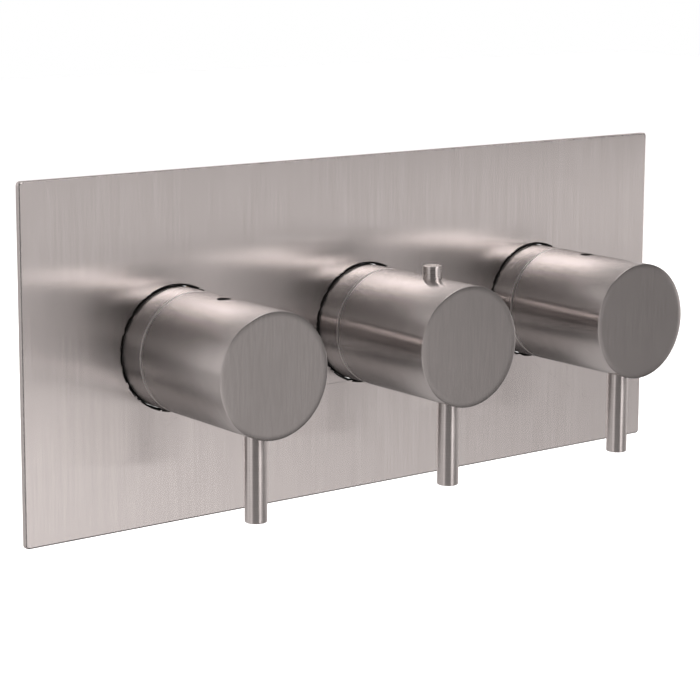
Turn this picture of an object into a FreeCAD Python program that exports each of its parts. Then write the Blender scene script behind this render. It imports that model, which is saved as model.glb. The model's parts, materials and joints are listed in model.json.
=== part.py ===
import FreeCAD, Part
import math
import os

from FreeCAD import Vector

# Concealed thermostatic shower valve with three knobs on one wall plate.
# Millimetres. X runs along the plate, to the right as seen from the room. Y runs into the wall.
# Z is up. The origin is on the finished wall, behind the centre of the plate.

# ---- cover plate and its gasket ----
PLATE_WIDTH = 300.0
PLATE_HEIGHT = 130.0
PLATE_THICK = 2.0
PLATE_CORNER_R = 1.5
PLATE_EDGE_BREAK = 0.4          # chamfer round the front
PLATE_HOLE_GAP = 0.6            # all round each sleeve
GASKET_THICK = 1.0              # of the foam, squeezed against the wall
GASKET_INSET = 4.0              # from the plate's edge to the foam
GASKET_LIP = 0.05               # between each hole's edge and its sleeve

# ---- knobs and sleeves ----
KNOB_PITCH = 87.0
KNOB_DIAMETER = 45.0
KNOB_REACH = 62.0               # from the plate to the knob's face
SLEEVE_STAND = 12.0             # of the sleeve, in front of the plate
SEAM = 0.4                      # between sleeve and knob
SLEEVE_LAP = 8.0                # of the sleeve over the socket behind it
SLEEVE_CLEAR = 0.2              # round the socket

# ---- levers ----
LEVER_DIAMETER = 8.0
LEVER_TIP = 53.7                # below the knob's axis
LEVER_FROM_FACE = 11.5
LEVER_SEAT_DEPTH = 1.5          # of the flat seat sunk in the knob
LEVER_THREAD_R = 3.0
LEVER_THREAD_LENGTH = 7.0
LEVER_TAP_SPARE = 1.0           # of the tapped hole past the thread
THREAD_CLEAR = 0.1              # round every screwed-in piece

# ---- flow knobs ----
HUB_R = 12.0
HUB_CLEAR = 0.1                 # round a hub in its knob
HUB_GAP = 0.7                   # between a hub and the shoulder behind its spline
FLOW_KNOB_FRONT_WALL = 16.3
GRUB_FROM_FACE = 30.5
GRUB_R = 2.5
GRUB_LENGTH = 6.0
GRUB_SOCKET_AF = 2.5
GRUB_SOCKET_DEPTH = 2.0

# ---- temperature knob, its override button and its stop ----
TEMP_BORE_R = 15.5
TEMP_BORE_FRONT_WALL = 17.5     # from the knob's face to the end of the wide bore
TEMP_HUB_R = 9.0
TEMP_KNOB_FRONT_WALL = 7.0
HUB_FRONT_WALL = 0.8            # from the end of the hub's bore to the spindle
SHAFT_PROUD = 1.1               # of the spindle's plain shaft in front of the cartridge's nose
BUTTON_FROM_FACE = 21.5
BUTTON_R = 3.5
BUTTON_PROUD = 4.9              # of the button above the knob
BUTTON_TRAVEL = 2.5
BUTTON_GUIDED = 1.3             # of the button's head inside its hole at rest
BUTTON_CLEAR = 0.05
BUTTON_STEM_R = 1.6
BUTTON_STEM_CLEAR = 0.2
BUTTON_EDGE = 0.5
BUTTON_LIP = 1.5                # of metal under the button's spring
BUTTON_WIRE = 0.5
BUTTON_TURNS = 3
BUTTON_TAIL_R = 1.2             # riveted end that carries the catch
CATCH_R = 3.4
CATCH_THICK = 2.0
CATCH_GAP = 0.15                # from the catch to the knob's bore
STOP_WALL = 1.1                 # of the stop ring's sleeve
STOP_FLANGE_THICK = 1.9
STOP_CLEAR = 0.5                # of the stop ring inside the knob's bore
STOP_FRONT_GAP = 0.6            # from the catch to the flange behind it
STOP_LUG_GAP = 0.3              # from the button's stem to the lug that passes behind it
CATCH_LUG_GAP = 0.25            # from the catch, pushed in, to the lug that passes over it
OVERRIDE_ANGLE = 40.0           # degrees past 38 degrees Celsius, with the button held in
COLD_ANGLE = 150.0              # degrees from there back to cold
CATCH_REST_ANGLE = 1.2          # degrees between the catch and the faces that stop it

# ---- valve body ----
SOCKET_FRONT = 6.0              # depth of the socket mouths behind the wall
SOCKET_OUTER_R = 18.8
BODY_BACK = 60.0
FLOW_BORE_R = 10.4
FLOW_SEAT_DEPTH = 32.0          # from the socket's mouth to the seat
THERMO_BORE_R = 14.2
THERMO_MOUTH_R = 16.0           # tapped for the ring nut
THERMO_NUT_LENGTH = 8.0
THERMO_SEAT_DEPTH = 40.0
THERMO_SEAT_R = 12.0
GALLERY_R = 5.5
GALLERY_ACROSS = 18.0           # flats of the octagonal gallery
LINK_ACROSS = 17.0              # flats of the ways in from the inlets
GALLERY_END = 108.0             # from the centre to each end of the gallery
SOCKET_FLOOR = 4.5              # of brass behind the gallery
STUB_ACROSS = 26.0              # flats of the octagonal inlets and outlets
STUB_THREAD_R = 9.5             # tapping radius of a G1/2 thread
STUB_THREAD_LENGTH = 14.0
OUTLET_TOP = 38.0
OUTLET_PORT_R = 7.0
OUTLET_DEPTH = 27.0             # Y of the outlets' axes
INLET_BOTTOM = -38.0
INLET_TOP = 12.0
INLET_OFFSET = 43.5             # X of the inlets' axes, either side
HOT_DEPTH = 36.0                # Y of the hot inlet's axis
COLD_DEPTH = 24.0               # Y of the cold inlet's axis
CHECK_BORE_R = 8.0
CHECK_SEAT = -4.0               # Z of the shoulder above each check valve
INLET_PORT_R = 6.5
LUG_X = 65.0
LUG_Z = 24.0
LUG_R = 8.0
LUG_THICK = 4.0
LUG_HOLE_R = 2.75

# ---- gallery plugs ----
PLUG_LENGTH = 6.0
PLUG_HEAD_AF = 14.0
PLUG_HEAD = 4.0

# ---- flow cartridges ----
CARTRIDGE_HEX_AF = 24.0
CARTRIDGE_HEX = 4.5
CARTRIDGE_THREAD = 10.0
CARTRIDGE_BARREL_R = 8.6
CARTRIDGE_NECK_R = 8.0
CARTRIDGE_NECK = 9.5
DISC_CHAMBER_R = 7.3
DISC_CHAMBER_LENGTH = 15.5
DISC_R = 7.0
MOVING_DISC_THICK = 3.8
FIXED_DISC_THICK = 4.4
DISC_FILM = 0.02                # water film between the lapped faces
DISC_PORT_RI = 2.0
DISC_PORT_RO = 5.6
DISC_PORT_ANGLE = 80.0          # degrees, each of two ports
SEAT_SEAL_RI = 4.6
BARREL_SHORT_OF_SEAT = 2.5
SPINDLE_R = 4.0
SPINDLE_CLEAR = 0.08            # in its bearing
SPINDLE_FLANGE = 4.0
SPINDLE_END_FLOAT = 0.3
TONGUE_WIDTH = 3.0
TONGUE_DEPTH = 1.6
TONGUE_CLEAR = 0.2
WINDOW_WIDTH = 8.0
WINDOW_LENGTH = 6.5
WINDOW_LAP = 1.0                # of each window over the spindle's flange
SPLINE_TEETH = 20
SPLINE_TOOTH = 0.6
SPLINE_CLEAR = 0.1
SPLINE_LENGTH = 10.0
SPLINE_FROM_NECK = 4.0
ORING_SECTION = 1.5
ORING_SQUEEZE = 0.05

# ---- thermostatic cartridge ----
NOSE_R = 9.0
NOSE_FRONT_WALL = 18.5          # from the knob's face to the end of the nose
NOSE_BORE_R = 5.0
SHOULDER_R = 12.5
SHOULDER_START = 0.0
NOSE_ROOT_WALL = 2.0            # between the nose bore and the carriage
CARRIAGE_BORE_R = 9.4
CARRIAGE_BORE_END = 22.0
SHUTTLE_BORE_R = 11.5
THERMO_CLEAR = 0.2              # of the cartridge in its socket
NUT_CLEAR = 0.2
CARRIAGE_CLEAR = 0.2
CARRIAGE_ROOM = 0.75            # from the thrust collar to the carriage at full hot
CARRIAGE_HUB = 5.5
CARRIAGE_LENGTH = 16.8
CARRIAGE_CUP_R = 7.2
CARRIAGE_KEY = 1.2              # height of its two keys
CARRIAGE_KEY_WIDTH = 3.0
THRUST_COLLAR_R = 8.5
THRUST_COLLAR = 1.5
LEAD = 4.0                      # of the spindle's left-hand thread, for each turn
OVERLOAD_SPRING_LENGTH = 8.7
OVERLOAD_WIRE = 1.4
OVERLOAD_TURNS = 4
PRESSURE_PLATE = 2.0
PISTON_R = 1.6
PISTON_LENGTH = 8.0
PISTON_SUNK = 1.0               # in the pressure plate
ELEMENT_GUIDE_R = 3.2
ELEMENT_GUIDE = 4.0
ELEMENT_FLANGE_R = 6.0
ELEMENT_FLANGE = 1.5
CAPSULE_R = 4.5
CAPSULE_ROOM = 1.0              # round the capsule, for the mixed water
CAPSULE_LENGTH = 13.5
SHUTTLE_CLEAR = 0.15
SHUTTLE_LENGTH = 7.0
SHUTTLE_WALL = 1.3
SHUTTLE_WEB = 2.0
SHUTTLE_LAP = 0.8               # of each window that the shuttle covers at rest
SHUTTLE_SLOTS = 3
SHUTTLE_SLOT_R = 8.1
SHUTTLE_SLOT_ANGLE = 60.0       # degrees
THERMO_WINDOW = 5.0
BASE_THICK = 4.0
RETURN_SPRING_R = 8.6
RETURN_WIRE = 1.2
RETURN_TURNS = 3
OVERLOAD_SPRING_R = 6.9
ORING_FROM_WINDOW = 0.8
NUT_SLOTS = 4
NUT_SLOT_DEPTH = 2.0
NUT_SLOT_WIDTH = 3.0

# ---- check valves and strainers ----
CHECK_CLEAR = 0.2
CHECK_SEAT_R = 5.0
CHECK_CHAMBER_R = 6.8
CHECK_SEAT_THICK = 3.0
CHECK_BRIDGE = 1.5
CHECK_BRIDGE_WIDTH = 3.6
POPPET_R = 6.2
POPPET_THICK = 1.5
POPPET_STEM_R = 1.2
POPPET_CLEAR = 0.1
POPPET_LIFT = 2.5
CHECK_SPRING_SHUT = 3.5         # length of the spring with the poppet lifted
CHECK_SPRING_R = 2.9
CHECK_WIRE = 0.6
CHECK_TURNS = 4
STRAINER_GAP = 0.3
STRAINER_FLANGE = 1.0
STRAINER_LENGTH = 7.0
STRAINER_R = 6.2
STRAINER_WALL = 0.6
STRAINER_SLOTS = 6
STRAINER_LIP = 1.0              # of plain wall above and below the slots

# ---- drawing of what stays sealed inside ----
# Round pieces that nobody sees are many-sided, so that the whole valve stays light.
FLAT_WIDTH = 6.0                # of each side, at most
FEWEST_SIDES = 12
ARC_STEP = 18.0                 # degrees, of each straight step in a curved lug or port
COIL_SIDES = 8
TOOL_SPARE = 1.0                # of a cutting tool past the face that it opens

# ---- places along Y that several pieces share ----
PLATE_BACK = -GASKET_THICK
PLATE_FRONT = PLATE_BACK - PLATE_THICK
KNOB_R = KNOB_DIAMETER / 2
KNOB_FACE = PLATE_FRONT - KNOB_REACH
SLEEVE_FRONT = PLATE_FRONT - SLEEVE_STAND
KNOB_BACK = SLEEVE_FRONT - SEAM
LEVER_Y = KNOB_FACE + LEVER_FROM_FACE
GRUB_Y = KNOB_FACE + GRUB_FROM_FACE
BUTTON_Y = KNOB_FACE + BUTTON_FROM_FACE
PLATE_HOLE_R = KNOB_R + PLATE_HOLE_GAP
FLOW_SEAT = SOCKET_FRONT + FLOW_SEAT_DEPTH
THERMO_SEAT = SOCKET_FRONT + THERMO_SEAT_DEPTH
GALLERY_Y = BODY_BACK - SOCKET_FLOOR - GALLERY_R
LEFT, MIDDLE, RIGHT = -KNOB_PITCH, 0.0, KNOB_PITCH


# ---- shapes that repeat ----
def place(axis, along, out, angle):
    """The point at a distance along an axis, and out from it at an angle in radians.

    An axis is its letter and the two other coordinates of a point on it.
    """
    letter, first, second = axis
    a = first + out * math.cos(angle)
    b = second + out * math.sin(angle)
    return {"X": Vector(along, a, b), "Y": Vector(a, along, b), "Z": Vector(a, b, along)}[letter]


def direction(axis):
    return {"X": Vector(1, 0, 0), "Y": Vector(0, 1, 0), "Z": Vector(0, 0, 1)}[axis[0]]


def turned(axis, outline):
    """A round solid: the outline of (distance along, radius) points, turned about its axis."""
    points = [place(axis, along, out, 0) for along, out in outline]
    return Part.Face(Part.makePolygon(points + points[:1])).revolve(
        place(axis, 0, 0, 0), direction(axis), 360)


def drum(axis, start, end, radius):
    """A plain round bar along an axis."""
    return Part.makeCylinder(radius, end - start, place(axis, start, 0, 0), direction(axis))


def prism(axis, start, end, corners):
    """A bar whose section has its corners at (radius, angle in radians)."""
    points = [place(axis, start, out, angle) for out, angle in corners]
    return Part.Face(Part.makePolygon(points + points[:1])).extrude(direction(axis) * (end - start))


def facet(axis, start, end, radius, hole=False):
    """A many-sided drum: its corners are on the radius or, for a hole, its flats are."""
    sides = max(FEWEST_SIDES, 4 * math.ceil(math.pi * radius / FLAT_WIDTH / 2))
    corner = radius / math.cos(math.pi / sides) if hole else radius
    return prism(axis, start, end, [(corner, 2 * math.pi * i / sides) for i in range(sides)])


def flats(axis, start, end, across, sides):
    """A bar with an even number of flats, given the distance across them."""
    corner = across / 2 / math.cos(math.pi / sides)
    return prism(axis, start, end, [(corner, math.pi * (2 * i + 1) / sides) for i in range(sides)])


def spline(axis, start, end, radius):
    """A toothed bar, or the tool that cuts its socket."""
    step = math.pi / SPLINE_TEETH
    corners = [(radius - SPLINE_TOOTH * (i % 2), step * i) for i in range(2 * SPLINE_TEETH)]
    return prism(axis, start, end, corners)


def block(x0, x1, y0, y1, z0, z1):
    return Part.makeBox(x1 - x0, y1 - y0, z1 - z0, Vector(x0, y0, z0))


def sector(axis, start, end, inner, outer, first, last):
    """A bar whose section is part of a ring, between two angles in degrees, in straight steps."""
    steps = math.ceil((last - first) / ARC_STEP)
    angles = [math.radians(first + (last - first) * i / steps) for i in range(steps + 1)]
    far = [(outer, angle) for angle in angles]
    near = [(inner, angle) for angle in reversed(angles)]
    return prism(axis, start, end, far + near)


def joined(pieces):
    """Several solids fused into one, with no seams left between flush faces."""
    return pieces[0].fuse(list(pieces[1:])).removeSplitter()


def coil(axis, start, end, radius, wire, turns):
    """A closed-end compression spring of square wire, wound in straight steps round its axis."""
    half = wire / 2
    steps = turns * COIL_SIDES
    rise = (end - start - wire) / steps
    rings = []
    for i in range(steps + 1):
        angle = 2 * math.pi * i / COIL_SIDES
        middle = start + half + rise * i
        inner, outer = radius - wire, radius
        rings.append([
            place(axis, middle - half, inner, angle),
            place(axis, middle - half, outer, angle),
            place(axis, middle + half, outer, angle),
            place(axis, middle + half, inner, angle),
        ])
    faces = [rings[0], rings[-1]]
    for near, far in zip(rings, rings[1:]):
        for k in range(4):
            n = (k + 1) % 4
            faces.append([near[k], near[n], far[n]])
            faces.append([near[k], far[n], far[k]])
    shell = Part.Shell([Part.Face(Part.makePolygon(f + f[:1])) for f in faces])
    solid = Part.Solid(shell)
    if solid.Volume < 0:
        solid.reverse()
    return solid


# ---- cover plate and foam gasket ----
def cover_plate():
    half_w, half_h = PLATE_WIDTH / 2, PLATE_HEIGHT / 2
    plate = block(-half_w, half_w, PLATE_FRONT, PLATE_BACK, -half_h, half_h)
    corners = [e for e in plate.Edges if abs(e.Vertexes[0].Point.y - e.Vertexes[-1].Point.y) > 0]
    plate = plate.makeFillet(PLATE_CORNER_R, corners)
    rim = [e for e in plate.Edges if e.BoundBox.YMax < PLATE_FRONT + PLATE_THICK / 4]
    plate = plate.makeChamfer(PLATE_EDGE_BREAK, rim)
    for x in (LEFT, MIDDLE, RIGHT):
        plate = plate.cut(drum(("Y", x, 0), PLATE_FRONT, PLATE_BACK, PLATE_HOLE_R))
    return plate


def plate_gasket():
    """A foam sheet stuck to the plate's back, whose holes hug the three sleeves."""
    half_w = PLATE_WIDTH / 2 - GASKET_INSET
    half_h = PLATE_HEIGHT / 2 - GASKET_INSET
    sheet = block(-half_w, half_w, PLATE_BACK, 0, -half_h, half_h)
    for x in (LEFT, MIDDLE, RIGHT):
        sheet = sheet.cut(facet(("Y", x, 0), PLATE_BACK, 0, KNOB_R + GASKET_LIP, hole=True))
    return sheet


def sleeve(x):
    """A tube that screws over the socket and stands through the plate."""
    axis = ("Y", x, 0)
    end = SOCKET_FRONT + SLEEVE_LAP
    tube = drum(axis, SLEEVE_FRONT, end, KNOB_R)
    return tube.cut(facet(axis, SLEEVE_FRONT, end, SOCKET_OUTER_R + SLEEVE_CLEAR, True))


# ---- knobs ----
def lever_seat(x):
    """The tool that sinks a lever's flat seat and its tapped hole in a knob."""
    axis = ("Z", x, LEVER_Y)
    top = LEVER_SEAT_DEPTH - KNOB_R
    seat = facet(axis, -KNOB_R - TOOL_SPARE, top, LEVER_DIAMETER / 2 + THREAD_CLEAR, True)
    tapped = facet(axis, -KNOB_R, top + LEVER_THREAD_LENGTH + LEVER_TAP_SPARE,
                   LEVER_THREAD_R + THREAD_CLEAR, True)
    return joined([seat, tapped])


def flow_knob(x):
    bore_end = KNOB_FACE + FLOW_KNOB_FRONT_WALL
    axis = ("Y", x, 0)
    knob = drum(axis, KNOB_FACE, KNOB_BACK, KNOB_R)
    knob = knob.cut(facet(axis, bore_end, KNOB_BACK, HUB_R + HUB_CLEAR, True))
    knob = knob.cut(lever_seat(x))
    return knob.cut(facet(("Z", x, GRUB_Y), 0, KNOB_R, GRUB_R + THREAD_CLEAR, True))


def temperature_knob():
    x = MIDDLE
    axis = ("Y", x, 0)
    knob = drum(axis, KNOB_FACE, KNOB_BACK, KNOB_R)
    wide, deep = KNOB_FACE + TEMP_BORE_FRONT_WALL, KNOB_FACE + TEMP_KNOB_FRONT_WALL
    knob = knob.cut(facet(axis, wide, KNOB_BACK, TEMP_BORE_R, True))
    knob = knob.cut(facet(axis, deep, wide, TEMP_HUB_R + HUB_CLEAR, True))
    knob = knob.cut(lever_seat(x))
    button = ("Z", x, BUTTON_Y)
    ledge = TEMP_BORE_R + BUTTON_LIP
    knob = knob.cut(facet(button, ledge, KNOB_R, BUTTON_R + BUTTON_CLEAR, True))
    knob = knob.cut(facet(button, 0, ledge, BUTTON_STEM_R + BUTTON_STEM_CLEAR, True))
    return knob.cut(facet(("X", LEVER_Y, 0), x, x + KNOB_R, GRUB_R + THREAD_CLEAR, True))


def lever(x):
    """A rod screwed into the knob's underside, square to the knob's axis."""
    axis = ("Z", x, LEVER_Y)
    top = LEVER_SEAT_DEPTH - KNOB_R
    rod = drum(axis, -LEVER_TIP, top, LEVER_DIAMETER / 2)
    return joined([rod, facet(axis, top, top + LEVER_THREAD_LENGTH, LEVER_THREAD_R)])


def grub_screw(axis, hub_r):
    """A socket set screw that bears on the hub inside a knob."""
    end = hub_r + GRUB_LENGTH
    screw = facet(axis, hub_r, end, GRUB_R)
    return screw.cut(flats(axis, end - GRUB_SOCKET_DEPTH, end, GRUB_SOCKET_AF, 6))


# ---- hubs that join a knob to its splined spindle ----
def flow_hub(x):
    axis = ("Y", x, 0)
    start = KNOB_FACE + FLOW_KNOB_FRONT_WALL + HUB_CLEAR
    end = FLOW_SPINDLE_FRONT + SPLINE_LENGTH - HUB_CLEAR
    socket = FLOW_SPINDLE_FRONT - SPLINE_CLEAR
    hub = facet(axis, start, end, HUB_R)
    return hub.cut(spline(axis, socket, end, SPINDLE_R + SPLINE_CLEAR))


def temperature_hub():
    axis = ("Y", MIDDLE, 0)
    start = KNOB_FACE + TEMP_KNOB_FRONT_WALL + HUB_CLEAR
    end = THERMO_SPLINE_END - HUB_GAP
    hub = facet(axis, start, end, TEMP_HUB_R)
    socket = THERMO_SPINDLE_FRONT - SPLINE_CLEAR
    return hub.cut(spline(axis, socket, end, SPINDLE_R + SPLINE_CLEAR))


# ---- override button, its spring and catch, and the stop ring ----
BUTTON_TOP = KNOB_R + BUTTON_PROUD
BUTTON_HEAD_END = KNOB_R - BUTTON_GUIDED
CATCH_TOP = math.sqrt(TEMP_BORE_R ** 2 - CATCH_R ** 2) - CATCH_GAP
CATCH_BOTTOM = CATCH_TOP - CATCH_THICK


def override_button():
    axis = ("Z", MIDDLE, BUTTON_Y)
    head = turned(axis, [
        (BUTTON_TOP, 0), (BUTTON_TOP, BUTTON_R - BUTTON_EDGE), (BUTTON_TOP - BUTTON_EDGE, BUTTON_R),
        (BUTTON_HEAD_END, BUTTON_R), (BUTTON_HEAD_END, 0)])
    return joined([
        head,
        facet(axis, CATCH_TOP, BUTTON_HEAD_END, BUTTON_STEM_R),
        facet(axis, CATCH_BOTTOM, CATCH_TOP, BUTTON_TAIL_R),
    ])


def override_catch():
    axis = ("Z", MIDDLE, BUTTON_Y)
    disc = facet(axis, CATCH_BOTTOM, CATCH_TOP, CATCH_R)
    return disc.cut(facet(axis, CATCH_BOTTOM, CATCH_TOP, BUTTON_TAIL_R, hole=True))


def override_spring():
    ledge = TEMP_BORE_R + BUTTON_LIP
    outer = BUTTON_R - BUTTON_CLEAR
    return coil(("Z", MIDDLE, BUTTON_Y), ledge, BUTTON_HEAD_END, outer, BUTTON_WIRE, BUTTON_TURNS)


def stop_ring():
    """A ring pressed on the cartridge's nose: the catch turns round it between two faces.

    The thin lug is the stop at 38 degrees. The catch passes under it when it is pushed in, and the
    button's stem passes in front of it. The thick wall ends the travel at cold and at full hot.
    """
    axis = ("Y", MIDDLE, 0)
    outer = TEMP_BORE_R - STOP_CLEAR
    front = BUTTON_Y - CATCH_R + STOP_FRONT_GAP
    flange_front = BUTTON_Y + CATCH_R + STOP_FRONT_GAP
    lug_front = BUTTON_Y + BUTTON_STEM_R + STOP_LUG_GAP
    back = flange_front + STOP_FLANGE_THICK
    tube_r = NOSE_R + STOP_WALL
    pushed_top = math.hypot(CATCH_TOP - BUTTON_TRAVEL, CATCH_R)
    out_half = catch_half_angle(CATCH_BOTTOM) + CATCH_REST_ANGLE
    in_half = catch_half_angle(CATCH_BOTTOM - BUTTON_TRAVEL) + CATCH_REST_ANGLE
    full_hot, cold = 90 + OVERRIDE_ANGLE + in_half, 450 - COLD_ANGLE - in_half
    ring = joined([
        facet(axis, front, back, tube_r),
        facet(axis, flange_front, back, outer),
        sector(axis, lug_front, flange_front, pushed_top + CATCH_LUG_GAP, outer, 90 + out_half, full_hot),
        sector(axis, front, flange_front, NOSE_R + STOP_WALL / 2, outer, full_hot, cold),
    ])
    return ring.cut(facet(axis, front, back, NOSE_R, hole=True))


def catch_half_angle(bottom):
    """Degrees that half the catch takes, with its lower face at a distance from the knob's axis."""
    return math.degrees(math.asin(CATCH_R / bottom))


# ---- flow cartridges: a quarter turn between two ceramic discs ----
NECK_FRONT = SOCKET_FRONT - CARTRIDGE_HEX - CARTRIDGE_NECK
FLOW_SPINDLE_FRONT = NECK_FRONT - SPLINE_FROM_NECK - SPLINE_LENGTH
BARREL_END = FLOW_SEAT - BARREL_SHORT_OF_SEAT
CHAMBER_FRONT = BARREL_END - DISC_CHAMBER_LENGTH
FLANGE_FRONT = CHAMBER_FRONT + SPINDLE_END_FLOAT
FLANGE_BACK = FLANGE_FRONT + SPINDLE_FLANGE
MOVING_BACK = FLANGE_BACK + TONGUE_CLEAR + MOVING_DISC_THICK
FIXED_FRONT = MOVING_BACK + DISC_FILM
FIXED_BACK = FIXED_FRONT + FIXED_DISC_THICK


def flow_housing(x):
    """The brass headwork: its thread is in the socket, and its hexagon is against the mouth."""
    axis = ("Y", x, 0)
    hex_front = SOCKET_FRONT - CARTRIDGE_HEX
    thread_end = SOCKET_FRONT + CARTRIDGE_THREAD
    groove = SOCKET_FRONT + ORING_SECTION
    body = joined([
        facet(axis, NECK_FRONT, hex_front, CARTRIDGE_NECK_R),
        flats(axis, hex_front, SOCKET_FRONT, CARTRIDGE_HEX_AF, 6),
        facet(axis, SOCKET_FRONT, groove, FLOW_BORE_R - ORING_SECTION),
        facet(axis, groove, thread_end, FLOW_BORE_R - THREAD_CLEAR),
        facet(axis, thread_end, BARREL_END, CARTRIDGE_BARREL_R),
    ])
    body = body.cut(facet(axis, NECK_FRONT, BARREL_END, SPINDLE_R + SPINDLE_CLEAR, hole=True))
    body = body.cut(facet(axis, CHAMBER_FRONT, BARREL_END, DISC_CHAMBER_R, hole=True))
    half = WINDOW_WIDTH / 2
    start = FLANGE_BACK - WINDOW_LAP
    window = block(x - half, x + half, start, start + WINDOW_LENGTH, -FLOW_BORE_R, FLOW_BORE_R)
    return body.cut(window)


def flow_orings(x):
    """The ring under the hexagon, and the ring that lies round the spindle in front of the neck."""
    axis = ("Y", x, 0)
    outer = facet(axis, SOCKET_FRONT, SOCKET_FRONT + ORING_SECTION, FLOW_BORE_R - ORING_SQUEEZE)
    inner = FLOW_BORE_R - ORING_SECTION + ORING_SQUEEZE
    gland = facet(axis, SOCKET_FRONT, SOCKET_FRONT + ORING_SECTION, inner, hole=True)
    front = facet(axis, NECK_FRONT - ORING_SECTION, NECK_FRONT, SPINDLE_R + 2 * ORING_SECTION)
    shaft = facet(axis, NECK_FRONT - ORING_SECTION, NECK_FRONT, SPINDLE_R + SPINDLE_CLEAR, hole=True)
    return Part.makeCompound([outer.cut(gland), front.cut(shaft)])


def flow_spindle(x):
    """Splined in front, with a flange and a tongue behind that turn the moving disc."""
    axis = ("Y", x, 0)
    half = TONGUE_WIDTH / 2
    tongue = facet(axis, FLANGE_BACK, FLANGE_BACK + TONGUE_DEPTH, DISC_R).common(
        block(x - DISC_R, x + DISC_R, FLANGE_BACK, FLANGE_BACK + TONGUE_DEPTH, -half, half))
    return joined([
        spline(axis, FLOW_SPINDLE_FRONT, FLOW_SPINDLE_FRONT + SPLINE_LENGTH, SPINDLE_R),
        facet(axis, FLOW_SPINDLE_FRONT + SPLINE_LENGTH, FLANGE_FRONT, SPINDLE_R),
        facet(axis, FLANGE_FRONT, FLANGE_BACK, DISC_R),
        tongue,
    ])


def ported_disc(x, front, back, first_port, port_outer):
    """A disc with two ports, opposite each other."""
    axis = ("Y", x, 0)
    disc = facet(axis, front, back, DISC_R)
    half = DISC_PORT_ANGLE / 2
    for middle in (first_port, first_port + 180):
        disc = disc.cut(sector(axis, front, back, DISC_PORT_RI, port_outer,
                               middle - half, middle + half))
    return disc


def moving_disc(x):
    """Its ports, open at the rim, are a quarter turn from the fixed disc's, so it is shut at rest."""
    front = FLANGE_BACK + TONGUE_CLEAR
    disc = ported_disc(x, front, MOVING_BACK, 90, DISC_R + TOOL_SPARE)
    half = TONGUE_WIDTH / 2 + TONGUE_CLEAR
    slot_end = FLANGE_BACK + TONGUE_DEPTH + TONGUE_CLEAR
    return disc.cut(block(x - DISC_R, x + DISC_R, front, slot_end, -half, half))


def fixed_disc(x):
    return ported_disc(x, FIXED_FRONT, FIXED_BACK, 0, DISC_PORT_RO)


def seat_seal(x):
    """The rubber ring squeezed between the fixed disc and the seat in the socket."""
    axis = ("Y", x, 0)
    return facet(axis, FIXED_BACK, FLOW_SEAT, DISC_R).cut(
        facet(axis, FIXED_BACK, FLOW_SEAT, SEAT_SEAL_RI, hole=True))


# ---- thermostatic cartridge: a screw, a carriage, a wax element and a shuttle on one axis ----
THERMO_AXIS = ("Y", MIDDLE, 0)
NOSE_FRONT = KNOB_FACE + NOSE_FRONT_WALL
THERMO_SPINDLE_FRONT = KNOB_FACE + TEMP_KNOB_FRONT_WALL + HUB_FRONT_WALL
THERMO_SPLINE_END = NOSE_FRONT - SHAFT_PROUD
THERMO_FLANGE = SOCKET_FRONT + THERMO_NUT_LENGTH
THERMO_BARREL_R = THERMO_BORE_R - THERMO_CLEAR
CARRIAGE_BORE_START = SHOULDER_START + NOSE_ROOT_WALL
COLLAR_START = CARRIAGE_BORE_START + SPINDLE_END_FLOAT
CARRIAGE_FRONT = COLLAR_START + THRUST_COLLAR + CARRIAGE_ROOM + LEAD * OVERRIDE_ANGLE / 360
CARRIAGE_BACK = CARRIAGE_FRONT + CARRIAGE_LENGTH
CUP_START = CARRIAGE_FRONT + CARRIAGE_HUB
PLATE_START = CUP_START + OVERLOAD_SPRING_LENGTH
PISTON_START = PLATE_START + PRESSURE_PLATE - PISTON_SUNK
GUIDE_START = PISTON_START + PISTON_LENGTH - ELEMENT_GUIDE - PISTON_SUNK
FLANGE_START = GUIDE_START + ELEMENT_GUIDE
WEB_START = FLANGE_START + ELEMENT_FLANGE
SHUTTLE_START = WEB_START + SHUTTLE_WEB / 2 - SHUTTLE_LENGTH / 2
SHUTTLE_END = SHUTTLE_START + SHUTTLE_LENGTH


def window_pair(start):
    """The tool that cuts four windows through the cartridge's barrel."""
    half = WINDOW_WIDTH / 2
    out = THERMO_BORE_R
    across = block(-out, out, start, start + THERMO_WINDOW, -half, half)
    upright = block(-half, half, start, start + THERMO_WINDOW, -out, out)
    return across.fuse(upright)


def oring_places():
    """Y of the barrel's ring grooves: before the cold windows, between the two, and behind hot."""
    cold = SHUTTLE_START + SHUTTLE_LAP - THERMO_WINDOW
    hot = SHUTTLE_END - SHUTTLE_LAP
    between = (SHUTTLE_START + SHUTTLE_END - ORING_SECTION) / 2
    return (cold - ORING_FROM_WINDOW - ORING_SECTION, between, hot + THERMO_WINDOW + ORING_FROM_WINDOW)


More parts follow.
